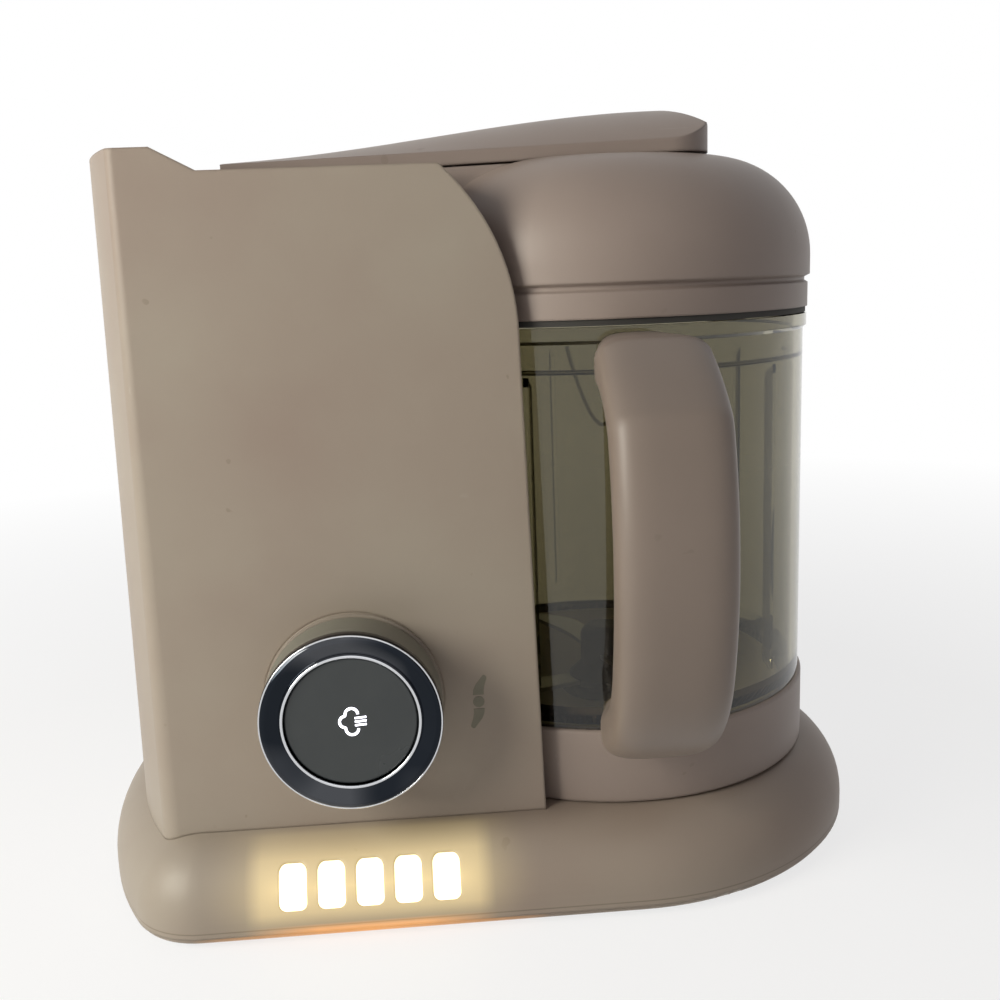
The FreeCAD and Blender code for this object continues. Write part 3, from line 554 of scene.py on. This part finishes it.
def litDiffuser():
    graph = Graph("litDiffuser")
    cells = graph.noise(*lampFinish["cells"])
    tint = graph.mix(cells * lampFinish["cellLevel"], lampFinish["colour"], lampFinish["edge"])
    return graph.principled({"Base Color": lampFinish["colour"], "Roughness": lampFinish["roughness"],
                             "Emission Color": tint, "Emission Strength": lampFinish["strength"]})


wear(["light_windows"], litDiffuser())


# hidden and small pieces
rubber = {"colour": rgb(44, 43, 41), "dusty": rgb(66, 63, 58), "dust": (90.0, 3.0), "dustLevel": 0.5,
          "roughness": 0.75, "dustRough": 0.15, "grain": (1500.0, 2.0), "grainStrength": 0.2, "grainDepth": 0.0001}
steel = {"colour": rgb(186, 186, 184), "dull": rgb(120, 120, 120), "roughness": 0.24, "stretch": (60.0, 900.0, 60.0),
         "brush": (1.0, 3.0, 0.6), "brushLevel": 0.4, "brushRough": 0.16, "brushStrength": 0.12, "brushDepth": 0.0001}
castMetal = dict(steel, colour=rgb(176, 176, 174), roughness=0.42, stretch=(200.0, 200.0, 200.0))
blackMoulding = {"colour": rgb(30, 30, 30), "cloudy": rgb(90, 88, 84), "clouds": (40.0, 3.0), "cloudLevel": 0.35,
                 "roughness": 0.38, "cloudRough": 0.1, "edge": 0.0006,
                 "grain": (1800.0, 2.0), "grainStrength": 0.2, "grainDepth": 0.00003}
paleMoulding = dict(blackMoulding, colour=rgb(168, 160, 148), roughness=0.45)
board = {"colour": rgb(38, 84, 52), "trace": rgb(70, 122, 78), "traces": (300.0, 1.0, 0.55, 0.05),
         "traceLevel": 0.5, "roughness": 0.35, "traceRough": 0.1}


def rubberFinish():
    graph = Graph("mattRubber")
    dust = graph.noise(*rubber["dust"])
    tint = graph.mix(dust * rubber["dustLevel"], rubber["colour"], rubber["dusty"])
    grain = graph.bump(graph.noise(*rubber["grain"]), rubber["grainStrength"], rubber["grainDepth"])
    return graph.principled({"Base Color": tint, "Roughness": rubber["roughness"] + dust * rubber["dustRough"],
                             "Normal": grain})


def metalFinish(name, metal):
    graph = Graph(name)
    brushed = graph.noise(*metal["brush"], graph.stretched(metal["stretch"]))
    tint = graph.mix(brushed * metal["brushLevel"], metal["colour"], metal["dull"])
    return graph.principled({"Base Color": tint, "Metallic": 1.0,
                             "Roughness": metal["roughness"] + brushed * metal["brushRough"],
                             "Normal": graph.bump(brushed, metal["brushStrength"], metal["brushDepth"])})


def plainMoulding(name, finish):
    graph = Graph(name)
    clouds = graph.noise(*finish["clouds"])
    tint = graph.mix(clouds * finish["cloudLevel"], finish["colour"], finish["cloudy"])
    grain = graph.noise(*finish["grain"])
    rounded = graph.roundEdges(finish["edge"])
    return graph.principled({"Base Color": tint, "Roughness": finish["roughness"] + clouds * finish["cloudRough"],
                             "Normal": graph.bump(grain, finish["grainStrength"], finish["grainDepth"], rounded)})


def boardFinish():
    graph = Graph("circuitBoard")
    traces = graph.spots(*board["traces"])
    tint = graph.mix(traces * board["traceLevel"], board["colour"], board["trace"])
    return graph.principled({"Base Color": tint, "Roughness": board["roughness"] + traces * board["traceRough"]})


wear(["rubber_feet", "lid_gasket", "tank_seal", "bowl_seal", "cord_gland", "drive_belt"], rubberFinish())
wear(["bottom_screws", "lid_hinge_pin", "boiler_tank", "thermostat", "motor_can", "motor_shaft", "drive_spindle",
      "blade_shaft", "lower_blades", "upper_blades"], metalFinish("brushedSteel", steel))
wear(["boiler_heater"], metalFinish("castAluminium", castMetal))
wear(["blade_hub", "drive_coupling", "driven_pulley", "motor_pulley"], plainMoulding("blackMoulding", blackMoulding))
wear(["tank_deck", "inner_frame", "lid_inner_plate", "knob_switch", "spindle_bearing", "spindle_step",
      "motor_bracket"], plainMoulding("paleMoulding", paleMoulding))
wear(["light_board", "control_board"], boardFinish())
print("finishes on", len(nodes), "nodes")


# flat signs: thin raised outlines in the plane of a face that looks to the front
def ribbon(points, width):        # a flat strip along points, as quads in the plane
    sides = []
    for index, point in enumerate(points):
        before = points[max(index - 1, 0)]
        after = points[min(index + 1, len(points) - 1)]
        run = (Vector(after) - Vector(before)).normalized()
        across = Vector((-run.y, run.x)) * width * 0.5
        sides.append((Vector(point) - across, Vector(point) + across))
    return [[first[0], second[0], second[1], first[1]] for first, second in zip(sides, sides[1:])]


def flatSign(name, patches, place, thick, material):        # patches in millimetres, stood up facing the front
    build = bmesh.new()
    for patch in patches:
        build.faces.new([build.verts.new((p[0] * millimetre, 0.0, p[1] * millimetre)) for p in patch])
    bmesh.ops.remove_doubles(build, verts=build.verts, dist=0.001 * millimetre)
    extruded = bmesh.ops.extrude_face_region(build, geom=build.faces[:])
    moved = [item for item in extruded["geom"] if isinstance(item, bmesh.types.BMVert)]
    bmesh.ops.translate(build, verts=moved, vec=(0.0, -thick, 0.0))
    bmesh.ops.recalc_face_normals(build, faces=build.faces)
    sign = meshPiece(name, build, material)
    sign.location = place
    return sign


# steam sign: a small cloud open at its right side with three jets, in millimetres
steamSign = {"line": 0.66, "thick": 0.00012, "colour": rgb(244, 244, 255), "strength": 3.0,
             "dim": rgb(214, 214, 255), "dimLevel": 0.2, "dimNoise": (400.0, 1.0),
             "puffs": (((0.2, 2.1), 1.65, 0, 190, 14), ((-1.35, 0.1), 1.65, 125, 235, 10),
                       ((0.2, -1.9), 1.65, 170, 360, 14)),        # centre, radius, first and last angle, steps
             "jets": (-0.9, 0.1, 1.1), "jetRun": (1.0, 4.0), "jetTilt": 0.1, "jetLine": 0.75}


def makeSteamSign():
    cloud = [point for puff in steamSign["puffs"] for point in arcPoints(*puff)]
    patches = ribbon(cloud, steamSign["line"])
    start, end = steamSign["jetRun"]
    tilt = steamSign["jetTilt"]
    for lift in steamSign["jets"]:
        patches += ribbon([(start, lift - tilt), (end, lift + tilt)], steamSign["line"] * steamSign["jetLine"])
    graph = Graph("litSign")
    tint = graph.mix(graph.noise(*steamSign["dimNoise"]) * steamSign["dimLevel"], steamSign["colour"],
                     steamSign["dim"])
    lit = graph.principled({"Base Color": steamSign["colour"], "Emission Color": tint,
                            "Emission Strength": steamSign["strength"]})
    low, high, middle = middleOf("knob_button")
    sign = flatSign("steamSign", patches, (middle.x, low.y, middle.z), steamSign["thick"], lit)
    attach(sign, "button")


makeSteamSign()
print("steam sign made")


# blade sign: two leaf blades and a round hub, printed on the panel beside the knob
bladeSign = {"fromKnob": (0.0342, -0.0032), "thick": 0.00008, "hub": 1.6, "hubPoints": 24, "reach": 0.008,
             "blade": [(-1.6, 2.0), (1.5, 2.0), (1.5, 3.2), (1.7, 4.5), (2.4, 6.7), (2.4, 7.2), (1.9, 7.7),
                       (1.4, 7.7), (0.3, 6.3), (-0.8, 4.9), (-1.4, 3.5)],        # in millimetres from the hub
             "colour": rgb(108, 105, 90), "worn": rgb(132, 127, 112), "wear": (500.0, 2.0), "wearLevel": 0.6,
             "roughness": 0.5, "wearRough": 0.1}


def panelLevel(x, z):        # where the tower's front panel lies behind a point in front of it
    mesh = nodes["tower_housing"].data
    tree = BVHTree.FromPolygons([v.co for v in mesh.vertices], [f.vertices for f in mesh.polygons])
    return tree.ray_cast(Vector((x, -1.0, z)), Vector((0.0, 1.0, 0.0)))[0].y


def makeBladeSign():
    upper = bladeSign["blade"]
    lower = [(-x, -z) for x, z in upper]
    patches = [upper, lower, ringPoints((0.0, 0.0), bladeSign["hub"], bladeSign["hubPoints"])]
    graph = Graph("bladePrint")
    worn = graph.noise(*bladeSign["wear"])
    tint = graph.mix(worn * bladeSign["wearLevel"], bladeSign["colour"], bladeSign["worn"])
    ink = graph.principled({"Base Color": tint, "Roughness": bladeSign["roughness"] + worn * bladeSign["wearRough"]})
    middle = middleOf("knob_ring")[2]
    x = middle.x + bladeSign["fromKnob"][0]
    z = middle.z + bladeSign["fromKnob"][1]
    reach = bladeSign["reach"]
    lean = (panelLevel(x, z + reach) - panelLevel(x, z - reach)) / (2 * reach)
    sign = flatSign("bladeSign", patches, (x, panelLevel(x, z), z), bladeSign["thick"], ink)
    sign.rotation_euler.x = -math.atan(lean)
    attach(sign, "base")


makeBladeSign()
print("blade sign made")


# studio: white floor that keeps the shadow, weak light all round, a soft warm lamp close on the left and a weak fill
studio = {"floor": rgb(250, 250, 250), "floorShade": rgb(240, 240, 238), "shadeNoise": (3.0, 2.0), "shadeLevel": 0.05,
          "floorRough": 0.6, "floorHalf": 4.0, "shadowDepth": 0.24, "shadowReach": (0.22, 0.75),
          "world": (0.13, 0.12, 0.124, 1.0), "aim": (0.0, 0.0, 0.1)}
lamps = {"keyLamp": {"power": 4.6, "size": 0.34, "place": (-0.56, -0.37, 0.36), "colour": (1.0, 0.965, 0.86)},
         "fillLamp": {"power": 0.7, "size": 0.9, "place": (0.2, -1.0, 1.1), "colour": (1.0, 0.93, 0.94)}}


def makeFloor():
    graph = Graph("paleFloor")
    shade = graph.noise(*studio["shadeNoise"])
    tint = graph.mix(shade * studio["shadeLevel"], studio["floor"], studio["floorShade"])
    matt = graph.shader({"Base Color": tint, "Roughness": studio["floorRough"]})
    white = graph.add("ShaderNodeEmission", None, {"Color": fullWhite, "Strength": 1.0}).out()
    x, y = graph.axes()[:2]
    inner, outer = studio["shadowReach"]
    near = (1.0 - ((x ** 2.0 + y ** 2.0) ** 0.5 - inner) / (outer - inner)).clamped()
    glow = graph.seenPath() * (1.0 - near * studio["shadowDepth"])
    build = bmesh.new()
    bmesh.ops.create_grid(build, x_segments=1, y_segments=1, size=studio["floorHalf"])
    floor = meshPiece("floor", build, graph.finish(graph.blend(glow, matt, white)))


def makeLights():
    for name, lamp in lamps.items():
        data = bpy.data.lights.new(name, "AREA")
        data.energy = lamp["power"]
        data.size = lamp["size"]
        data.color = lamp["colour"]
        stand = linked(name, data)
        stand.location = lamp["place"]
        aim = Vector(studio["aim"]) - Vector(lamp["place"])
        stand.rotation_euler = aim.to_track_quat("-Z", "Y").to_euler()


def makeWorld():        # white where it is seen, weak light elsewhere
    graph = Graph("studioWorld", bpy.data.worlds)
    soft = graph.add("ShaderNodeBackground", None, {"Color": studio["world"], "Strength": 1.0}).out()
    white = graph.add("ShaderNodeBackground", None, {"Color": fullWhite, "Strength": 1.0}).out()
    scene.world = graph.finish(graph.blend(graph.seenPath(), soft, white), "World")
    scene.view_settings.view_transform = "Standard"


makeFloor()
makeLights()
makeWorld()
print("studio lit")
